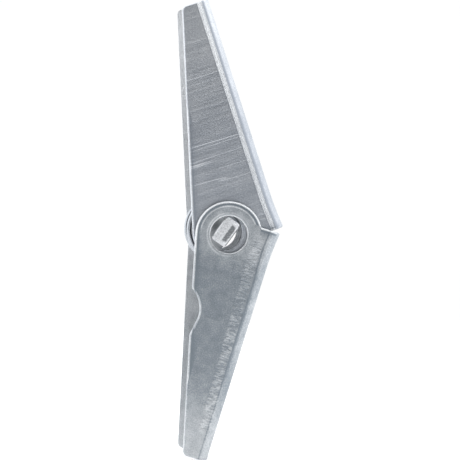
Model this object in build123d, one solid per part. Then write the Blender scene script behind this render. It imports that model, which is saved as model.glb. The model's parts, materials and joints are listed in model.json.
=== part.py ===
from build123d import *
from math import acos, atan2, cos, degrees, pi, radians, sin, sqrt
import os

# Spring toggle for hollow walls: two channel-shaped wings, a trunnion nut that is also their axle, and a
# double torsion spring. Millimetres. The origin is the middle of the nut, on the thread's axis. Y is the pivot
# axis, the open wings stand along Z, and the wall is on the -X side, where the bolt comes from.

# Pressed sheet shared by both wings. The web flares outwards in an arc as it nears the pivot end.
sheet = 0.8
rim_round = 0.2
tip_corner = 0.6
shoulder_round = 0.25
pivot_hole_radius = 2.02
flare_start = 2.8
flare_radius = 37.0
flare_sweep = 12

# Each wing is drawn about its own pivot hole: along the web first, then outwards to the web's outer face.
# web_lean is the web's angle from Z when the wing is open, and edge_slope the flange edge's angle to the web.
outer_wing = dict(
    side=-1,
    hole=(0.27, -0.3),
    width=11.2,
    bend_radius=1.1,
    web_lean=17.4,
    web_offset=5.11,
    web_start=-1.8,
    tip=24.44,
    ear_radius=3.64,
    edge_slope=14.1,
)
inner_wing = dict(
    side=1,
    hole=(-0.33, 0.0),
    width=9.2,
    bend_radius=1.45,
    web_lean=17.8,
    web_offset=6.32,
    web_start=-1.58,
    tip=24.72,
    ear_radius=3.47,
    edge_slope=15.15,
)
# The back flanges are cut a little differently: the outer wing's is taller there, the inner wing's lower
outer_wing_back = outer_wing | dict(ear_radius=3.84, edge_slope=14.4)
inner_wing_back = inner_wing | dict(ear_radius=3.3)

# Twin lines that the press tool leaves where the inner wing's bends begin, as depths below the web's face
die_line_depths = (1.0, 1.3)
die_line_radius = 0.15
die_line_cut = 0.07

# Bolt notch in the pivot end of each web, for an M4 bolt: a slot whose round end is centred this far in
bolt_notch_width = 5.2
bolt_notch_run = 1.2

# Bite in the edge of the outer wing's front flange, measured along the edge from the pivot
bite_start = 6.1
bite_arc_middle = (2.0, 0.93)
bite_arc_end = (3.56, 0.66)
bite_end = 5.05
bite_round = 0.2

# Trunnion nut
thread_lean = 36.0
nut_thickness = 1.7
tang_width = 3.0
tang_corner = 0.33
tang_reach = 5.85
shear_drop = 0.13
shear_round = 0.1
boss_radius = 2.7
collar_radius = 2.3
collar_height = 1.65
thread_core_radius = 1.65
thread_mouth = 0.3

# Double torsion spring
wire = 0.5
coil_outer_radius = 3.75
coil_centre = (-0.45, 0.2)
coil_inner_end = 2.42
coil_pitch = 0.51
coil_turns = 2
leg_contact = 6.0
bridge_bend = 0.8
web_gap = 0.02


def along_web(wing):
    lean = radians(wing["web_lean"])
    return Vector(-sin(lean), 0, wing["side"] * cos(lean))


def out_of_web(wing):
    lean = radians(wing["web_lean"])
    return Vector(cos(lean), 0, wing["side"] * sin(lean))


def hole_centre(wing):
    return Vector(wing["hole"][0], 0, wing["hole"][1])


def wing_place(wing):
    """The wing's own frame: X along the web, Z out of it, origin in the pivot hole."""
    return Plane(origin=hole_centre(wing), x_dir=along_web(wing), z_dir=out_of_web(wing)).location


def upright(shape):
    """Turns a shape drawn in X and Y so that its Y points along Z and its Z towards the front, -Y."""
    return Rot(90, 0, 0) * shape


def edge_direction(wing):
    slope = radians(wing["edge_slope"])
    return Vector(cos(slope), sin(slope))


def edge_start(wing):
    """Where the straight flange edge leaves the round ear."""
    slope = radians(wing["edge_slope"])
    return Vector(wing["ear_radius"] * sin(slope), -wing["ear_radius"] * cos(slope))


def side_outline(wing):
    """The trimmed outline, X along the web and Y out of it. It passes the web, whose face the channel has."""
    ear = wing["ear_radius"]
    start = edge_start(wing)
    direction = edge_direction(wing)
    tip_edge = start + direction * ((wing["tip"] - start.X) / direction.X)
    shoulder = Vector(wing["web_start"], sqrt(ear**2 - wing["web_start"] ** 2))
    beyond_web = wing["web_offset"] + 1
    web_tip = Vector(wing["tip"], beyond_web)
    web_end = Vector(wing["web_start"], beyond_web)
    outline = [
        ThreePointArc(shoulder, (-ear, 0), start),
        Line(start, tip_edge),
        Line(tip_edge, web_tip),
        Line(web_tip, web_end),
        Line(web_end, shoulder),
    ]
    face = make_face(outline)
    face = fillet(face.vertices().sort_by_distance(tip_edge)[0], tip_corner)
    return fillet(face.vertices().sort_by_distance(shoulder)[0], shoulder_round)


def channel_block(wing, inset):
    """A solid block under the web's face, sunk by inset all round, with both of its long top edges rounded."""
    height = wing["web_offset"] - inset
    radius = flare_radius + inset
    far = wing["tip"] + 5
    arc = CenterArc((flare_start, height + radius), radius, 270 - flare_sweep, flare_sweep)
    near = arc @ 0
    profile = [
        Line((far, height), arc @ 1),
        arc,
        Line(near, (near.X, -12)),
        Line((near.X, -12), (far, -12)),
        Line((far, -12), (far, height)),
    ]
    half = wing["width"] / 2 - inset
    block = upright(extrude(make_face(profile), amount=half, both=True))
    top = block.edges().filter_by(lambda edge: abs(abs(edge.center().Y) - half) < 0.01 and edge.center().Z > 0)
    return fillet(top.filter_by(lambda edge: abs(edge.tangent_at(0.5).X) > 0.9), wing["bend_radius"] - inset)


def channel(wing):
    """The bent sheet before trimming: a U section running along the web."""
    return channel_block(wing, 0) - channel_block(wing, sheet)


def bolt_notch(wing):
    radius = bolt_notch_width / 2
    middle = wing["web_start"] + bolt_notch_run
    height = wing["web_offset"]
    drill = Pos(middle, 0, height) * Cylinder(radius, 4)
    mouth = Pos(middle - 2, 0, height) * Box(4, bolt_notch_width, 4)
    return drill + mouth


def bitten_outline(wing):
    """The same outline with the bite taken out of its free edge, its two outer corners rounded."""
    start = edge_start(wing) + edge_direction(wing) * bite_start
    stop = start + edge_direction(wing) * bite_end
    bite = [
        ThreePointArc((0, 0), bite_arc_middle, bite_arc_end),
        Line(bite_arc_end, (bite_end, 0)),
        Line((bite_end, 0), (bite_end, -2)),
        Line((bite_end, -2), (0, -2)),
        Line((0, -2), (0, 0)),
    ]
    face = side_outline(wing) - Pos(start.X, start.Y) * Rot(0, 0, wing["edge_slope"]) * make_face(bite)
    for corner in (start, stop):
        face = fillet(face.vertices().sort_by_distance(corner)[0], bite_round)
    return face


def skin_place(point, wing):
    """Where a point is past the flat web, sideways, and past the flat flange, upwards, for judging the bend."""
    height = wing["web_offset"]
    depth = height - point.Z
    if point.X < flare_start:
        depth = sqrt((flare_start - point.X) ** 2 + (height + flare_radius - point.Z) ** 2) - flare_radius
    return abs(point.Y) - (wing["width"] / 2 - wing["bend_radius"]), wing["bend_radius"] - depth


def on_outer_skin(point, wing):
    """True on the outer side of the sheet: either flange, the web, or the round bends between them."""
    past_web, past_flange = skin_place(point, wing)
    if past_web > 0 and past_flange > 0:
        return abs(sqrt(past_web**2 + past_flange**2) - wing["bend_radius"]) < 0.001
    return abs(max(past_web, past_flange) - wing["bend_radius"]) < 0.001


def is_seam(points, wing):
    """True where smooth faces only meet: along either side of a bend, or across the web where it flares."""
    places = [skin_place(point, wing) for point in points]
    beside_bend = any(all(abs(place[side]) < 0.001 for place in places) for side in (0, 1))
    return beside_bend or all(abs(point.X - flare_start) < 0.001 for point in points)


def rim_edges(shape, wing):
    """The edges where the outer skin ends: free edges, holes and notch."""
    rim = []
    for edge in shape.edges():
        points = [edge @ place for place in (0, 0.25, 0.5, 1)]
        if all(on_outer_skin(point, wing) for point in points) and not is_seam(points, wing):
            rim.append(edge)
    return rim


def die_lines(wing):
    """Round bars that press the twin lines into the outside of both bends, all along them and up the flare."""
    height = wing["web_offset"]
    bend = wing["bend_radius"]
    reach = bend + die_line_radius - die_line_cut
    flare_axis = Axis((flare_start, 0, height + flare_radius), (0, 1, 0))
    bars = Part()
    for depth in die_line_depths:
        tilt = acos((bend - depth) / bend)
        out = wing["width"] / 2 - bend + reach * sin(tilt)
        for y in (-out, out):
            place = Plane(origin=(flare_start, y, height - bend + reach * cos(tilt)), z_dir=(1, 0, 0))
            disc = place * Circle(die_line_radius)
            bars += extrude(disc, amount=wing["tip"])
            bars += revolve(disc, flare_axis, flare_sweep)
    return bars


def make_wing(wing, front_outline, back_outline):
    """Trims the bent sheet to its flange outlines, one for each side, and rounds its punched rim."""
    half = wing["width"] / 2
    trim = extrude(front_outline, amount=half) + extrude(back_outline, amount=-half)
    shape = channel(wing) & upright(trim)
    shape -= Rot(90, 0, 0) * Cylinder(pivot_hole_radius, wing["width"] + 2)
    shape -= bolt_notch(wing)
    return fillet(rim_edges(shape, wing), rim_round)


def thread_mouth_cone(height, low_radius, high_radius):
    cone = Cone(low_radius, high_radius, thread_mouth, align=(Align.CENTER, Align.CENTER, Align.MIN))
    return Pos(0, 0, height) * cone


def sheared_strap():
    """The bar that both tangs belong to. Each sheared end has a low ridge across it, parallel to X."""
    half = nut_thickness / 2
    side = tang_reach - shear_drop
    points = [(tang_reach, 0), (side, half), (-side, half), (-tang_reach, 0), (-side, -half), (side, -half)]
    profile = make_face(Polyline(*points, close=True))
    bar = Rot(0, 0, 90) * Rot(90, 0, 0) * extrude(profile, amount=tang_width / 2, both=True)
    bar = fillet(bar.edges().filter_by(Axis.Y), tang_corner)
    ends = bar.edges().filter_by(lambda edge: side - 0.01 < abs(edge.center().Y) < tang_reach - 0.01)
    return fillet(ends, shear_round)


def make_nut():
    """Drawn in its own frame: X across the tangs, Y along them, Z along the thread towards the wall."""
    low = -nut_thickness / 2
    strap = sheared_strap()
    collar = Cylinder(collar_radius, collar_height - low, align=(Align.CENTER, Align.CENTER, Align.MIN))
    nut = strap + Cylinder(boss_radius, nut_thickness) + Pos(0, 0, low) * collar
    nut -= Cylinder(thread_core_radius, 4 * collar_height)
    wide = thread_core_radius + thread_mouth
    nut -= thread_mouth_cone(low, wide, thread_core_radius)
    nut -= thread_mouth_cone(collar_height - thread_mouth, thread_core_radius, wide)
    lean = radians(thread_lean)
    place = Plane(origin=(0, 0, 0), x_dir=(sin(lean), 0, cos(lean)), z_dir=(-cos(lean), 0, sin(lean)))
    return place.location * nut


def leg_end(wing):
    """Where the wire's centre line meets the inside of a wing's web, in X and Z."""
    depth = wing["web_offset"] - sheet - wire / 2 - web_gap
    point = hole_centre(wing) + along_web(wing) * leg_contact + out_of_web(wing) * depth
    return Vector(point.X, point.Z)


def leg_tangent_angle(wing):
    """Angle on the coil, from +X towards +Z, where the leg to that wing leaves the coil's right side."""
    away = leg_end(wing) - Vector(*coil_centre)
    return degrees(atan2(away.Y, away.X)) - wing["side"] * degrees(acos(coil_radius() / away.length))


def coil_radius():
    return coil_outer_radius - wire / 2


def half_spring():
    """The coil behind the thread with its two legs, up to the middle of the bridge.

    Drawn with X and Y for the world's X and Z. Its Z points to the front, so the coil starts at the ear, where
    Z is lowest, and climbs towards the thread.
    """
    low_angle = leg_tangent_angle(outer_wing)
    turn = leg_tangent_angle(inner_wing) - low_angle + 360 * coil_turns
    rise = coil_pitch * turn / 360
    slope = coil_pitch / (2 * pi * coil_radius())
    coil_low = -coil_inner_end - rise
    coil = Pos(*coil_centre, coil_low) * Rot(0, 0, low_angle) * Helix(coil_pitch, rise, coil_radius())
    coil_start = coil @ 0
    coil_stop = coil @ 1
    low_end = Vector(leg_end(outer_wing).X, leg_end(outer_wing).Y, coil_low)
    low_end -= Vector(0, 0, slope * (low_end - coil_start).length)
    high_end = Vector(leg_end(inner_wing).X, leg_end(inner_wing).Y, -coil_inner_end)
    high_end += Vector(0, 0, slope * (high_end - coil_stop).length)
    bridge_middle = Vector(high_end.X, high_end.Y, 0)
    upper = FilletPolyline(coil_stop, high_end, bridge_middle, radius=bridge_bend)
    path = Wire([Line(low_end, coil_start), coil, *upper.edges()])
    section = Plane(origin=path @ 0, z_dir=path % 0) * Circle(wire / 2)
    return upright(sweep(section, path=path))


def make_spring():
    half = half_spring()
    return half + mirror(half, about=Plane.XZ)


def save(name, shape):
    export_step(shape, f"parts/{name}.step")


os.makedirs("parts", exist_ok=True)
outer_shape = make_wing(outer_wing, bitten_outline(outer_wing), side_outline(outer_wing_back))
inner_shape = make_wing(inner_wing, side_outline(inner_wing), side_outline(inner_wing_back)) - die_lines(inner_wing)
save("outer_wing", wing_place(outer_wing) * outer_shape)
save("inner_wing", wing_place(inner_wing) * inner_shape)
save("trunnion_nut", make_nut())
save("torsion_spring", make_spring())
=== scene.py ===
import json
from math import acos, atan2, cos, pi, radians, sin

import bmesh
import bpy
from mathutils import Matrix, Vector


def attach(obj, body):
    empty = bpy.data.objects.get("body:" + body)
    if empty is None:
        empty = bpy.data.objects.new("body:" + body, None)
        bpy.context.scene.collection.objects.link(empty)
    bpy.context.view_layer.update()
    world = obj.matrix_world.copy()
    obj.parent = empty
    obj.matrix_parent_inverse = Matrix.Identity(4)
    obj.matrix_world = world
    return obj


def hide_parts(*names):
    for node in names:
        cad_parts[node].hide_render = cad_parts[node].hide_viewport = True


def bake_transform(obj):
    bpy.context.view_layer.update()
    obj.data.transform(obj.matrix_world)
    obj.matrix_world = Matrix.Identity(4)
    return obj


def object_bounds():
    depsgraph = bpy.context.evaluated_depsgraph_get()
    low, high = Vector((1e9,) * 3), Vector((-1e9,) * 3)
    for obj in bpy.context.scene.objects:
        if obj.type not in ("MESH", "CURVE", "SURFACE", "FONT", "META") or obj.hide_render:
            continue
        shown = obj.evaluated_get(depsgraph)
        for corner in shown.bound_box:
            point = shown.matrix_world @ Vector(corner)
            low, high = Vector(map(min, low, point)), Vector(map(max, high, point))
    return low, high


# Spring toggle anchor for hollow walls, in the frame's own axes: Y is the pivot axis, the open wings stand
# along Z, and the wall is on the -X side. Lengths are metres, except where a comment says millimetres.

mm = 0.001

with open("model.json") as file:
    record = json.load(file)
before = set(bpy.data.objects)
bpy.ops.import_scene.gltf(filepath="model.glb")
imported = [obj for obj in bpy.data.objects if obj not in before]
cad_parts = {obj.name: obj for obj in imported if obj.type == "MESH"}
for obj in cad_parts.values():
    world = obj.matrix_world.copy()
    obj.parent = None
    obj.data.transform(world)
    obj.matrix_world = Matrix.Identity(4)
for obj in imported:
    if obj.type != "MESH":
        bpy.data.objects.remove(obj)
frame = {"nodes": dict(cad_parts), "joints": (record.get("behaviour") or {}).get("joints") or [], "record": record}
cad_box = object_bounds()
nodes = frame["nodes"]
joints = {joint["name"]: joint for joint in frame["joints"]}
thread = frame["record"]["mounts"][0]

# Camera: a long lens, a little to the left of the pivot axis and a little above it
camera_azimuth = -3.5
camera_elevation = 1.2
camera_distance = 358 * mm
camera_lens = 257
camera_aim = Vector((0.39, -5.6, 0.21)) * mm

# Each wing has its own frame about its pivot hole: X along the web, Z out of it. The lean is the web's angle
# from Z. Lengths in the two dicts, and the four lengths below them, are millimetres.
outer_lean = radians(17.4)
inner_lean = radians(17.8)
outer_hole = Vector(joints["outer_wing_fold"]["pos_m"])
inner_hole = Vector(joints["inner_wing_fold"]["pos_m"])
outer_wing = dict(
    half_width=5.6,
    web_offset=5.11,
    web_start=-1.8,
    bend=1.1,
    ear_front=3.64,
    ear_back=3.84,
    edge_slope=radians(14.1),
    bite_start=6.1,
    bite_arc_centre=(2.26, -2.24),
    bite_arc_radius=3.18,
    bite_arc_end=3.56,
    bite_line_normal=(0.405, 0.914),
    bite_end=5.05,
)
inner_wing = dict(
    half_width=4.6,
    web_offset=6.32,
    web_start=-1.58,
    bend=1.45,
    ear_front=3.47,
    ear_back=3.3,
    edge_slope=radians(15.15),
)
hole_radius = 2.02
rim_round = 0.2
flare_start = 2.8
flare_radius = 37.0

# M4 thread in the nut, in millimetres. The ridge's corners are given outwards from the axis, then along it.
thread_pitch = 0.7
thread_low = -1.35
thread_turns = 5
ridge_corners = ((1.5, -0.33), (1.98, -0.045), (1.98, 0.045), (1.5, 0.33))

# Torsion spring
wire_radius = 0.25 * mm
coil_radius = 3.5 * mm
coil_centre = Vector((-0.45, 0.2)) * mm
coil_inner_end = 2.42 * mm
coil_pitch = 0.51 * mm
coil_turns = 2
leg_contact = 6.0 * mm
leg_depth_outer = 4.04 * mm
leg_depth_inner = 5.25 * mm
bridge_bend = 0.8 * mm
twist_length = 0.26 * mm
wire_end_taper = 0.82


# ---------------------------------------------------------------- camera, floor and light


def direction(azimuth, elevation):
    """From the object towards a viewer: azimuth 0 is the front, -Y, and negative azimuths are to the left."""
    turn = radians(azimuth)
    rise = radians(elevation)
    return Vector((sin(turn) * cos(rise), -cos(turn) * cos(rise), sin(rise)))


def add_camera():
    data = bpy.data.cameras.new("camera")
    data.lens = camera_lens
    data.clip_start = 0.01
    camera = bpy.data.objects.new("camera", data)
    bpy.context.scene.collection.objects.link(camera)
    view = direction(camera_azimuth, camera_elevation)
    camera.location = camera_aim + view * camera_distance
    camera.rotation_euler = (-view).to_track_quat("-Z", "Y").to_euler()
    bpy.context.scene.camera = camera


def add_tent():
    """A light tent: bright cloth at the sides and behind, darker in front, plain white to the camera."""
    world = bpy.data.worlds.new("tent")
    bpy.context.scene.world = world
    world.use_nodes = True
    tree = world.node_tree
    tree.nodes.clear()
    place = tree.nodes.new("ShaderNodeTexCoord")
    axes = tree.nodes.new("ShaderNodeSeparateXYZ")
    turn = tree.nodes.new("ShaderNodeMapRange")
    turn.inputs["From Min"].default_value = -1.0
    turn.inputs["From Max"].default_value = 1.0
    cloth_level = tree.nodes.new("ShaderNodeValToRGB")
    ramp = cloth_level.color_ramp
    ramp.interpolation = "EASE"
    levels = ((0.0, 0.3), (0.03, 0.22), (0.1, 0.26), (0.2, 0.5), (0.3, 1.2), (0.5, 1.3), (1.0, 1.05))
    while len(ramp.elements) < len(levels):
        ramp.elements.new(0.5)
    for element, (position, level) in zip(ramp.elements, levels):
        element.position = position
        element.color = (level * 0.97, level * 0.985, level, 1)
    cloth = tree.nodes.new("ShaderNodeBackground")
    cloth.inputs["Strength"].default_value = 1.5
    white = tree.nodes.new("ShaderNodeBackground")
    white.inputs["Color"].default_value = (1, 1, 1, 1)
    white.inputs["Strength"].default_value = 1.02
    path = tree.nodes.new("ShaderNodeLightPath")
    mix = tree.nodes.new("ShaderNodeMixShader")
    out = tree.nodes.new("ShaderNodeOutputWorld")
    link = tree.links.new
    link(place.outputs["Generated"], axes.inputs[0])
    link(axes.outputs["Y"], turn.inputs["Value"])
    link(turn.outputs["Result"], cloth_level.inputs["Fac"])
    link(cloth_level.outputs["Color"], cloth.inputs["Color"])
    link(path.outputs["Is Camera Ray"], mix.inputs["Fac"])
    link(cloth.outputs[0], mix.inputs[1])
    link(white.outputs[0], mix.inputs[2])
    link(mix.outputs[0], out.inputs["Surface"])


def add_floor():
    """A pale floor just under the lower wing's tip."""
    half = 0.3
    below = 0.1 * mm
    height = cad_box[0][2] - below
    mesh = bpy.data.meshes.new("floor")
    corners = [(x, y, height) for x, y in ((-half, -half), (half, -half), (half, half), (-half, half))]
    mesh.from_pydata(corners, [], [(0, 1, 2, 3)])
    floor = bpy.data.objects.new("floor", mesh)
    bpy.context.scene.collection.objects.link(floor)
    material = bpy.data.materials.new("pale_floor")
    material.use_nodes = True
    shader = material.node_tree.nodes["Principled BSDF"]
    shader.inputs["Base Color"].default_value = (0.8, 0.8, 0.8, 1)
    shader.inputs["Roughness"].default_value = 0.7
    shader.inputs["Emission Color"].default_value = (1, 1, 1, 1)
    shader.inputs["Emission Strength"].default_value = 0.25
    mesh.materials.append(material)


# ---------------------------------------------------------------- materials


class Shading:
    """A Principled material and the few node helpers that the metals below share."""

    def __init__(self, name, colour, roughness):
        self.material = bpy.data.materials.new(name)
        self.material.use_nodes = True
        self.tree = self.material.node_tree
        self.shader = self.tree.nodes["Principled BSDF"]
        self.shader.inputs["Base Color"].default_value = (*colour, 1)
        self.shader.inputs["Metallic"].default_value = 1.0
        self.shader.inputs["Roughness"].default_value = roughness
        self.height = None

    def node(self, kind, **settings):
        made = self.tree.nodes.new(kind)
        for name, value in settings.items():
            setattr(made, name, value)
        return made

    def link(self, source, target):
        self.tree.links.new(source, target)

    def local(self, origin, x_axis, z_axis):
        """Millimetres in a frame with this origin, this X and this Z. It stays with the piece as it moves."""
        coordinate = self.node("ShaderNodeTexCoord")
        mapping = self.node("ShaderNodeMapping", vector_type="TEXTURE")
        turned = Matrix((x_axis, z_axis.cross(x_axis), z_axis)).transposed()
        mapping.inputs["Location"].default_value = origin
        mapping.inputs["Rotation"].default_value = turned.to_euler()
        mapping.inputs["Scale"].default_value = (mm, mm, mm)
        self.link(coordinate.outputs["Object"], mapping.inputs["Vector"])
        return mapping.outputs["Vector"]

    def axes(self, vector):
        split = self.node("ShaderNodeSeparateXYZ")
        self.link(vector, split.inputs[0])
        return split.outputs

    def stretched(self, vector, scale):
        """The same place scaled along its axes, so that a noise drawn on it comes out as streaks."""
        mapping = self.node("ShaderNodeMapping")
        mapping.inputs["Scale"].default_value = scale
        self.link(vector, mapping.inputs["Vector"])
        return mapping.outputs["Vector"]

    def noise(self, vector, scale, detail=2.0):
        made = self.node("ShaderNodeTexNoise")
        made.inputs["Scale"].default_value = scale
        made.inputs["Detail"].default_value = detail
        self.link(vector, made.inputs["Vector"])
        return made.outputs["Fac"]

    def ramp(self, value, low, high, to_low=0.0, to_high=1.0):
        """Maps low..high of a value smoothly to to_low..to_high."""
        made = self.node("ShaderNodeMapRange", interpolation_type="SMOOTHSTEP")
        made.inputs["From Min"].default_value = low
        made.inputs["From Max"].default_value = high
        made.inputs["To Min"].default_value = to_low
        made.inputs["To Max"].default_value = to_high
        self.link(value, made.inputs["Value"])
        return made.outputs["Result"]

    def maths(self, operation, first, second=0.0):
        made = self.node("ShaderNodeMath", operation=operation)
        for socket, value in zip(made.inputs, (first, second)):
            if isinstance(value, (int, float)):
                socket.default_value = value
            else:
                self.link(value, socket)
        return made.outputs[0]

    def band(self, value, low, high, edge):
        """1 between low and high, 0 outside, with a soft edge."""
        rising = self.ramp(value, low - edge, low + edge)
        falling = self.ramp(value, high - edge, high + edge, 1.0, 0.0)
        return self.maths("MULTIPLY", rising, falling)

    def tint(self, dark, pale, value):
        """The base colour, from dark where the value is 0 to pale where it is 1."""
        mix = self.node("ShaderNodeMix", data_type="RGBA")
        mix.inputs["A"].default_value = (*dark, 1)
        mix.inputs["B"].default_value = (*pale, 1)
        self.link(value, mix.inputs["Factor"])
        self.link(mix.outputs["Result"], self.shader.inputs["Base Color"])

    def total(self, *weighted, base=0.0):
        """The base plus the sum of values, each times its weight."""
        result = base
        for value, weight in weighted:
            result = self.maths("ADD", self.maths("MULTIPLY", value, weight), result)
        return result

    def roughness(self, value):
        self.link(value, self.shader.inputs["Roughness"])

    def bump(self, value, depth_mm):
        """Adds relief: the value times this depth, on top of the relief already there."""
        made = self.node("ShaderNodeBump")
        made.inputs["Distance"].default_value = depth_mm * mm
        self.link(value, made.inputs["Height"])
        if self.height is not None:
            self.link(self.height, made.inputs["Normal"])
        self.height = made.outputs["Normal"]
        self.link(self.height, self.shader.inputs["Normal"])


def wing_axes(side, lean):
    """The directions along a wing's web, away from the pivot, and out of the web's face."""
    along_web = Vector((-sin(lean), 0, side * cos(lean)))
    out_of_web = Vector((cos(lean), 0, side * sin(lean)))
    return along_web, out_of_web


class WingShading(Shading):
    """Zinc-plated pressed sheet, painted in its wing's own frame in millimetres."""

    def __init__(self, name, hole, side, lean, wing):
        super().__init__(name, (0.55, 0.58, 0.61), 0.36)
        self.wing = wing
        self.place = self.local(hole, *wing_axes(side, lean))
        self.x, self.y, self.z = self.axes(self.place)
        self.aside = self.maths("ABSOLUTE", self.y)
        self.depth = self.web_depth()
        half = wing["half_width"]
        self.flange = self.ramp(self.aside, half - wing["bend"] * 0.4, half - 0.1)

    def web_depth(self):
        """How far a place is below the web's face, which flares outwards near the pivot end."""
        back = self.maths("MAXIMUM", self.maths("SUBTRACT", flare_start, self.x), 0.0)
        down = self.maths("SUBTRACT", self.wing["web_offset"] + flare_radius, self.z)
        return self.maths("SUBTRACT", self.length(back, down), flare_radius)

    def length(self, first, second):
        squares = [self.maths("MULTIPLY", value, value) for value in (first, second)]
        return self.maths("SQRT", self.maths("ADD", *squares))

    def from_edge(self):
        """How far in a place on a flange is from its cut edge: the ear's round, then the straight edge."""
        # Added where an edge doesn't run, so that its distance drops out of the minimum below
        elsewhere = 9.0
        slope = self.wing["edge_slope"]
        along = self.total((self.x, cos(slope)), (self.z, sin(slope)))
        out = self.total((self.x, sin(slope)), (self.z, -cos(slope)))
        behind = self.maths("MAXIMUM", self.maths("MULTIPLY", along, -1.0), 0.0)
        out = self.maths("MAXIMUM", out, self.maths("MULTIPLY", behind, -20.0))
        ear = self.ramp(self.y, -1.0, 1.0, self.wing["ear_front"], self.wing["ear_back"])
        from_round = self.maths("SUBTRACT", ear, self.length(behind, out))
        from_shoulder = self.maths("SUBTRACT", self.x, self.wing["web_start"])
        above_pivot = self.ramp(self.z, 0.5, 1.0)
        beyond_round = self.maths("MULTIPLY", above_pivot, self.ramp(from_shoulder, -0.1, 0.0))
        below_shoulder = self.ramp(self.z, 3.0, 3.2, 1.0, 0.0)
        inwards = self.maths(
            "MINIMUM",
            self.total((from_round, 1.0), (beyond_round, elsewhere)),
            self.total((from_shoulder, 1.0), (below_shoulder, elsewhere)),
        )
        return inwards, behind, along

    def inside(self):
        """1 on the inside of the channel, 0 on its outer skin."""
        half = self.wing["half_width"]
        within = self.ramp(self.aside, half - 0.6, half - 0.4, 1.0, 0.0)
        return self.maths("MULTIPLY", within, self.ramp(self.depth, 0.4, 0.6))

    def round_bend(self, depth):
        """1 on the outside of the bends, as far as this depth below the web's face."""
        start = self.wing["half_width"] - self.wing["bend"]
        above = self.ramp(self.depth, depth - 0.12, depth + 0.03, 1.0, 0.0)
        return self.maths("MULTIPLY", self.ramp(self.aside, start, start + 0.3), above)

    def rim(self, from_edge, share=0.9):
        """1 on this share of the rounded rim beside a cut edge."""
        return self.band(from_edge, -0.2, rim_round * share, 0.03)

    def bite_rim(self, along, inwards):
        """The rim round the bite in the front flange: an arc, then a straight run back to the edge."""
        wing = self.wing
        run = self.maths("SUBTRACT", along, wing["bite_start"])
        arc_x, arc_y = wing["bite_arc_centre"]
        from_centre = self.length(self.maths("SUBTRACT", run, arc_x), self.maths("SUBTRACT", inwards, arc_y))
        from_arc = self.maths("SUBTRACT", from_centre, wing["bite_arc_radius"])
        line_x, line_y = wing["bite_line_normal"]
        from_line = self.total((run, line_x), (inwards, line_y), base=-line_x * wing["bite_end"])
        arc_run = self.band(run, 0.0, wing["bite_arc_end"], 0.05)
        line_run = self.band(run, wing["bite_arc_end"], wing["bite_end"], 0.05)
        on_arc = self.maths("MULTIPLY", self.rim(from_arc), arc_run)
        on_line = self.maths("MULTIPLY", self.rim(from_line), line_run)
        front = self.ramp(self.y, -1.0, 1.0, 1.0, 0.0)
        return self.maths("MULTIPLY", self.maths("MAXIMUM", on_arc, on_line), front)

    def rims(self):
        """Rims painted bright, partly burnish and partly painted highlight, with a painted shade line and a softer
        painted shade inside them, and painted highlight lines on the ear and round the hole.
        """
        inwards, behind, along = self.from_edge()
        round_hole = self.maths("SUBTRACT", self.length(self.x, self.z), hole_radius)
        # Bright rims along the cut edges and round the hole: partly burnish, partly a painted highlight.
        bright = self.maths("MAXIMUM", self.rim(inwards), self.rim(round_hole, 0.6))
        if "bite_start" in self.wing:
            bright = self.maths("MAXIMUM", bright, self.bite_rim(along, inwards))
        ear = self.ramp(behind, 0.3, 0.8)
        # A painted shade line just inside the rims, and a softer painted shade further in.
        darkened = self.band(inwards, 0.24, 0.4, 0.06)
        shade = self.maths("MULTIPLY", self.ramp(inwards, 0.2, 1.1, 1.0, 0.0), self.ramp(inwards, 0.2, 0.3))
        # Painted highlight lines: on the ear, where the die roll meets the flat, and round the hole, stronger on
        # the side away from the web.
        step = self.maths("MULTIPLY", self.band(inwards, 0.48, 0.6, 0.06), ear)
        ring_highlight_strength = self.ramp(self.z, -1.5, 1.5, 0.8, 0.2)
        ring = self.maths("MULTIPLY", self.band(round_hole, 0.28, 0.4, 0.1), ring_highlight_strength)
        step = self.maths("MAXIMUM", step, ring)
        return [self.maths("MULTIPLY", value, self.flange) for value in (bright, darkened, shade, step)]


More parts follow.
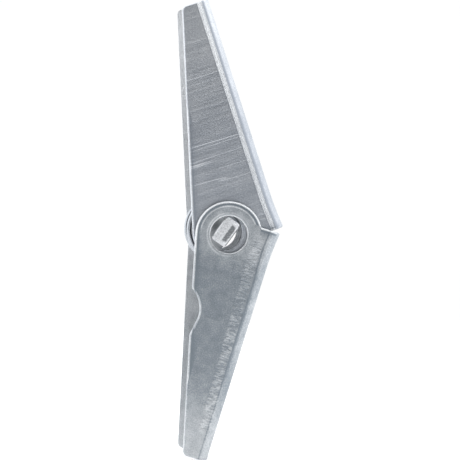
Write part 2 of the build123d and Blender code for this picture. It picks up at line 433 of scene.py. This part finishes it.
def inner_wing_zinc():
    """Fine scratches run straight across the wing, and a few are long and bright."""
    zinc = WingShading("inner_wing_zinc", inner_hole, 1, inner_lean, inner_wing)
    flat = zinc.ramp(zinc.depth, 1.3, 1.6)
    grain = zinc.noise(zinc.place, 6.5, 3.0)
    cloud = zinc.noise(zinc.place, 0.45, 3.0)
    brush = zinc.noise(zinc.stretched(zinc.place, (3.0, 1.0, 0.12)), 1.0, 3.0)
    few = zinc.ramp(zinc.noise(zinc.stretched(zinc.place, (0.35, 1.0, 0.08)), 1.0), 0.5, 0.62)
    crossing = zinc.noise(zinc.stretched(zinc.place, (1.1, 0.6, 0.03)), 1.0, 1.0)
    scratch = zinc.maths("MULTIPLY", zinc.band(crossing, 0.5, 0.515, 0.01), zinc.maths("MULTIPLY", few, flat))
    bright, darkened, shade, step = zinc.rims()
    # Die lines beside the bend made lighter: partly burnish, partly a painted highlight. Rims, die lines and long
    # scratches are then lightened and smoothed together.
    lines = zinc.band(zinc.depth, 0.9, 1.4, 0.04)
    # A painted shade line in the bend, between the die lines and the web's face.
    painted_bend_shade = zinc.band(zinc.depth, 0.66, 0.8, 0.06)
    burnish_and_painted_highlight = zinc.maths("MAXIMUM", zinc.maths("MULTIPLY", bright, 0.3), zinc.maths("MULTIPLY", lines, 0.85))
    burnish_and_painted_highlight = zinc.maths("MAXIMUM", burnish_and_painted_highlight, zinc.maths("MULTIPLY", scratch, 0.7))
    tip = zinc.ramp(zinc.x, 9.0, 21.0)
    # The tone adds a painted light on the inside of the channel, where the flanges shade it, and a painted
    # highlight on the outside of the bend.
    tone = zinc.total(
        (grain, 0.4), (cloud, 0.2), (zinc.maths("MULTIPLY", brush, flat), 0.2), (tip, 0.12), (burnish_and_painted_highlight, 0.5),
        (darkened, -0.25), (shade, -0.1), (step, 0.15), (painted_bend_shade, -0.25), (zinc.inside(), 0.4),
        (zinc.round_bend(0.6), 0.1),
    )
    zinc.tint((0.30, 0.325, 0.365), (0.86, 0.87, 0.88), zinc.ramp(tone, 0.2, 1.0))
    zinc.roughness(zinc.total((brush, 0.1), (burnish_and_painted_highlight, 0.45), (step, 0.15), base=0.3))
    zinc.bump(zinc.maths("MULTIPLY", brush, flat), 0.012)
    zinc.bump(zinc.maths("MULTIPLY", grain, flat), 0.018)
    zinc.bump(scratch, 0.02)
    return zinc.material


def outer_wing_zinc():
    """Smoother, mottled zinc, paler at the ear and the tip, with press-tool chatter beside each bend."""
    zinc = WingShading("outer_wing_zinc", outer_hole, -1, outer_lean, outer_wing)
    grain = zinc.noise(zinc.place, 7.5, 3.0)
    cloud = zinc.noise(zinc.place, 1.1, 4.0)
    lane = zinc.band(zinc.total((zinc.depth, 1.0), (zinc.x, 0.03)), 1.4, 2.5, 0.15)
    growing = zinc.ramp(zinc.x, 2.0, 13.0, 0.65, 1.2)
    reach = zinc.maths("MULTIPLY", zinc.band(zinc.x, -0.5, 21.0, 1.0), growing)
    patches = zinc.ramp(zinc.noise(zinc.place, 0.9, 2.0), 0.3, 0.6, 0.5, 1.0)
    chatter = zinc.noise(zinc.stretched(zinc.place, (6.5, 1.0, 1.5)), 1.0, 3.0)
    marks = zinc.maths("MULTIPLY", zinc.ramp(chatter, 0.38, 0.64), zinc.maths("MULTIPLY", lane, reach))
    marks = zinc.maths("MULTIPLY", marks, patches)
    bright, darkened, shade, step = zinc.rims()
    # A painted shade line where each bend starts.
    bend_end = zinc.total((zinc.depth, 1.0), (zinc.ramp(zinc.x, 0.0, 5.0), 0.2))
    painted_bend_shade = zinc.maths("MULTIPLY", zinc.band(bend_end, 1.1, 1.24, 0.08), zinc.flange)
    tip = zinc.ramp(zinc.x, 14.0, 23.0)
    ear = zinc.ramp(zinc.x, 0.5, 4.5, 1.0, 0.0)
    # A painted highlight on the outside of the bend, along the middle of the wing.
    bend = zinc.maths("MULTIPLY", zinc.round_bend(0.75), zinc.band(zinc.x, 4.0, 14.0, 3.0))
    # Bright rims, partly burnish and partly a painted highlight, weaker away from the ear.
    rim = zinc.maths("MULTIPLY", bright, zinc.ramp(zinc.x, -2.0, 4.0, 1.0, 0.6))
    # Painted light on the inside of the channel, where the flanges shade it, less towards the tip.
    inside = zinc.maths("MULTIPLY", zinc.inside(), zinc.ramp(zinc.x, 14.0, 22.0, 1.0, 0.4))
    tone = zinc.total(
        (grain, 0.5), (cloud, 0.3), (tip, 0.25), (ear, 0.16), (marks, 0.18), (rim, 0.4), (darkened, -0.25),
        (shade, -0.12), (step, 0.28), (painted_bend_shade, -0.2), (inside, 0.33), (bend, 0.14),
    )
    zinc.tint((0.21, 0.24, 0.27), (0.86, 0.87, 0.88), zinc.ramp(tone, 0.24, 1.12))
    zinc.roughness(zinc.total((cloud, 0.15), (rim, 0.4), (step, 0.15), (marks, 0.15), base=0.3))
    zinc.bump(cloud, 0.02)
    zinc.bump(grain, 0.018)
    zinc.bump(marks, 0.035)
    return zinc.material


def nut_zinc():
    """Bright zinc. The tangs' ends were sheared: smooth on the wall side and torn, darker, on the other."""
    zinc = Shading("nut_zinc", (0.7, 0.71, 0.73), 0.42)
    wallwards = Vector(thread["axis"])
    across = wallwards.cross(Vector((0, 1, 0)))
    place = zinc.local(Vector(thread["pos_m"]), across, wallwards)
    x, y, z = zinc.axes(place)
    grain = zinc.noise(place, 6.0, 3.0)
    aside = zinc.maths("ABSOLUTE", y)
    end = zinc.ramp(aside, 5.5, 5.65)
    # Painted shade: darker deep inside, between the wings, where the flanges shade the nut.
    inside = zinc.ramp(aside, 3.2, 4.6, 1.0, 0.0)
    torn = zinc.maths("MULTIPLY", zinc.band(z, -0.6, -0.06, 0.1), zinc.band(x, -1.0, 1.0, 0.14))
    crest = zinc.maths("MULTIPLY", zinc.ramp(x, -1.35, -1.1, 1.0, 0.0), end)
    lip = zinc.ramp(z, -0.8, -0.7, 1.0, 0.0)
    darkened = zinc.maths("MULTIPLY", zinc.maths("MAXIMUM", torn, lip), end)
    darkened = zinc.maths("MAXIMUM", zinc.maths("MULTIPLY", darkened, 0.8), inside)
    tone = zinc.maths("SUBTRACT", zinc.ramp(grain, 0.3, 0.7, 0.6, 1.0), darkened)
    zinc.tint((0.2, 0.21, 0.22), (0.85, 0.86, 0.88), tone)
    zinc.roughness(zinc.total((end, 0.2), (crest, 0.2), base=0.28))
    zinc.bump(grain, 0.02)
    zinc.bump(zinc.maths("SUBTRACT", 1.0, zinc.maths("MULTIPLY", torn, end)), 0.012)
    return zinc.material


def spring_zinc():
    """Drawn spring wire under a thin bright plate."""
    zinc = Shading("spring_zinc", (0.6, 0.62, 0.65), 0.26)
    coordinate = zinc.node("ShaderNodeTexCoord")
    place = zinc.stretched(coordinate.outputs["Object"], (1 / mm, 1 / mm, 1 / mm))
    grain = zinc.noise(place, 9.0, 2.0)
    cloud = zinc.noise(place, 1.2, 3.0)
    zinc.tint((0.3, 0.32, 0.35), (0.5, 0.52, 0.55), cloud)
    zinc.roughness(zinc.ramp(cloud, 0.3, 0.7, 0.14, 0.24))
    zinc.bump(grain, 0.004)
    return zinc.material


# ---------------------------------------------------------------- torsion spring


def leg_end(hole, side, lean, depth):
    """Where the wire's middle meets the inside of a wing's web, in X and Z."""
    along_web, out_of_web = wing_axes(side, lean)
    point = hole + along_web * leg_contact + out_of_web * depth
    return Vector((point.x, point.z))


def leg_tangent_angle(end, side):
    """Angle on the coil, from +X towards +Z, where the leg to that end leaves the coil's right side."""
    away = end - coil_centre
    return atan2(away.y, away.x) - side * acos(coil_radius / away.length)


def on_coil(angle, y):
    return Vector((coil_centre.x + coil_radius * cos(angle), y, coil_centre.y + coil_radius * sin(angle)))


def straight(start, stop, steps):
    return [start.lerp(stop, step / steps) for step in range(steps)]


def spring_path():
    """The middle of the wire, from the outer wing's leg through the coil at +Y to the bridge at Y = 0."""
    low = leg_end(outer_hole, -1, outer_lean, leg_depth_outer)
    high = leg_end(inner_hole, 1, inner_lean, leg_depth_inner)
    low_angle = leg_tangent_angle(low, -1)
    turn = leg_tangent_angle(high, 1) - low_angle + 2 * pi * coil_turns
    rise = coil_pitch * turn / (2 * pi)
    slope = coil_pitch / (2 * pi * coil_radius)
    coil_start = on_coil(low_angle, coil_inner_end + rise)
    coil_stop = on_coil(low_angle + turn, coil_inner_end)
    low_reach = (low - Vector((coil_start.x, coil_start.z))).length
    high_reach = (high - Vector((coil_stop.x, coil_stop.z))).length
    low_end = Vector((low.x, coil_start.y + slope * low_reach, low.y))
    corner = Vector((high.x, coil_stop.y - slope * high_reach, high.y))
    steps_round = int(turn / (2 * pi) * 96)
    points = straight(low_end, coil_start, 12)
    for step in range(steps_round):
        part = step / steps_round
        points.append(on_coil(low_angle + turn * part, coil_inner_end + rise * (1 - part)))
    arrive = (corner - coil_stop).normalized()
    leave = Vector((0, -1, 0))
    bend_start = corner - arrive * bridge_bend
    bend_stop = corner + leave * bridge_bend
    points += straight(coil_stop, bend_start, 12)
    bend_steps = 16
    for step in range(bend_steps):
        part = step / bend_steps
        points.append(bend_start.lerp(corner, part).lerp(corner.lerp(bend_stop, part), part))
    points += straight(bend_stop, Vector((corner.x, 0, corner.z)), 6)
    points.append(Vector((corner.x, 0, corner.z)))
    return points


def tube(points, sides=20):
    """A round wire along the points, a little thinner at its first point, with both ends closed flat."""
    mesh = bmesh.new()
    rings = []
    across = Vector((0, 1, 0))
    for index, point in enumerate(points):
        ahead = points[min(index + 1, len(points) - 1)] - points[max(index - 1, 0)]
        ahead.normalize()
        across = (across - ahead * across.dot(ahead)).normalized()
        beside = ahead.cross(across)
        radius = wire_radius * (wire_end_taper if index == 0 else 1)
        ring = []
        for side in range(sides):
            angle = 2 * pi * side / sides
            ring.append(mesh.verts.new(point + (across * cos(angle) + beside * sin(angle)) * radius))
        rings.append(ring)
    for ring, following in zip(rings, rings[1:]):
        for side in range(sides):
            after = (side + 1) % sides
            mesh.faces.new((ring[side], ring[after], following[after], following[side]))
    mesh.faces.new(list(reversed(rings[0])))
    mesh.faces.new(rings[-1])
    return mesh


def spring_piece(name, half, y_side, keep_outer, twist_plane):
    """One side of the coil, cut at the twist plane and closed flat there."""
    mesh = half.copy()
    normal = Vector((0, 1, 0))
    cut = bmesh.ops.bisect_plane(
        mesh,
        geom=list(mesh.verts) + list(mesh.edges) + list(mesh.faces),
        plane_co=(0, twist_plane, 0),
        plane_no=normal,
        clear_inner=keep_outer,
        clear_outer=not keep_outer,
    )
    edges = [item for item in cut["geom_cut"] if isinstance(item, bmesh.types.BMEdge)]
    bmesh.ops.contextual_create(mesh, geom=edges)
    if y_side < 0:
        bmesh.ops.scale(mesh, vec=(1, -1, 1), verts=mesh.verts)
    bmesh.ops.recalc_face_normals(mesh, faces=mesh.faces)
    for face in mesh.faces:
        face.smooth = len(face.verts) <= 4
    for face in mesh.faces:
        if not face.smooth:
            for edge in face.edges:
                edge.smooth = False
    data = bpy.data.meshes.new(name)
    mesh.to_mesh(data)
    mesh.free()
    piece = bpy.data.objects.new(name, data)
    bpy.context.scene.collection.objects.link(piece)
    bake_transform(piece)
    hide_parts("torsion_spring")
    return piece


def add_spring(material):
    """The legs reach the outer wing, the bridge reaches the inner one, and the coils wind between them."""
    points = spring_path()
    half = tube(points)
    twist_plane = coil_inner_end + coil_pitch
    ends = (
        ("outer_leg", True, twist_plane + twist_length, "outer_wing"),
        ("bridge", False, twist_plane - twist_length, "inner_wing"),
    )
    for side_name, y_side in (("front", -1), ("back", 1)):
        for end_name, keep_outer, blend_end, wing in ends:
            name = f"spring_{end_name}_{side_name}"
            piece = spring_piece(name, half, y_side, keep_outer, twist_plane)
            piece.data.materials.append(material)
    half.free()


# ---------------------------------------------------------------- nut's thread


def thread_ridge():
    """The solid that a tap cuts away: a blunt ridge wound along the nut's thread.

    It winds left-handed, which a real M4 thread doesn't.
    """
    axis = Vector(thread["axis"])
    across = axis.cross(Vector((0, 1, 0)))
    steps_round = 48
    mesh = bmesh.new()
    rings = []
    for step in range(steps_round * thread_turns + 1):
        angle = 2 * pi * step / steps_round
        outwards = across * cos(angle) + Vector((0, 1, 0)) * sin(angle)
        height = thread_low + thread_pitch * step / steps_round
        ring = []
        for out, up in ridge_corners:
            ring.append(mesh.verts.new((outwards * out + axis * (height + up)) * mm))
        rings.append(ring)
    for ring, following in zip(rings, rings[1:]):
        for corner in range(4):
            after = (corner + 1) % 4
            mesh.faces.new((ring[corner], following[corner], following[after], ring[after]))
    mesh.faces.new(rings[0])
    mesh.faces.new(list(reversed(rings[-1])))
    bmesh.ops.recalc_face_normals(mesh, faces=mesh.faces)
    data = bpy.data.meshes.new("tap")
    mesh.to_mesh(data)
    mesh.free()
    tap = bpy.data.objects.new("tap", data)
    bpy.context.scene.collection.objects.link(tap)
    return tap


def add_threaded_nut(material):
    """The nut with an M4 thread cut in its bore."""
    nut = bpy.data.objects.new("threaded_nut", nodes["trunnion_nut"].data.copy())
    bpy.context.scene.collection.objects.link(nut)
    tap = thread_ridge()
    cut = nut.modifiers.new("thread", "BOOLEAN")
    cut.operation = "DIFFERENCE"
    cut.solver = "EXACT"
    cut.object = tap
    evaluated = nut.evaluated_get(bpy.context.evaluated_depsgraph_get())
    threaded = bpy.data.meshes.new_from_object(evaluated)
    nut.modifiers.clear()
    nut.data = threaded
    bpy.data.objects.remove(tap)
    for face in threaded.polygons:
        face.use_smooth = True
    threaded.set_sharp_from_angle(angle=radians(30))
    threaded.materials.clear()
    threaded.materials.append(material)
    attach(nut, "nut")
    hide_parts("trunnion_nut")


def dress(node, material):
    nodes[node].data.materials.clear()
    nodes[node].data.materials.append(material)


add_camera()
add_tent()
add_floor()
bpy.context.scene.view_settings.view_transform = "Standard"
dress("outer_wing", outer_wing_zinc())
dress("inner_wing", inner_wing_zinc())
add_threaded_nut(nut_zinc())
add_spring(spring_zinc())
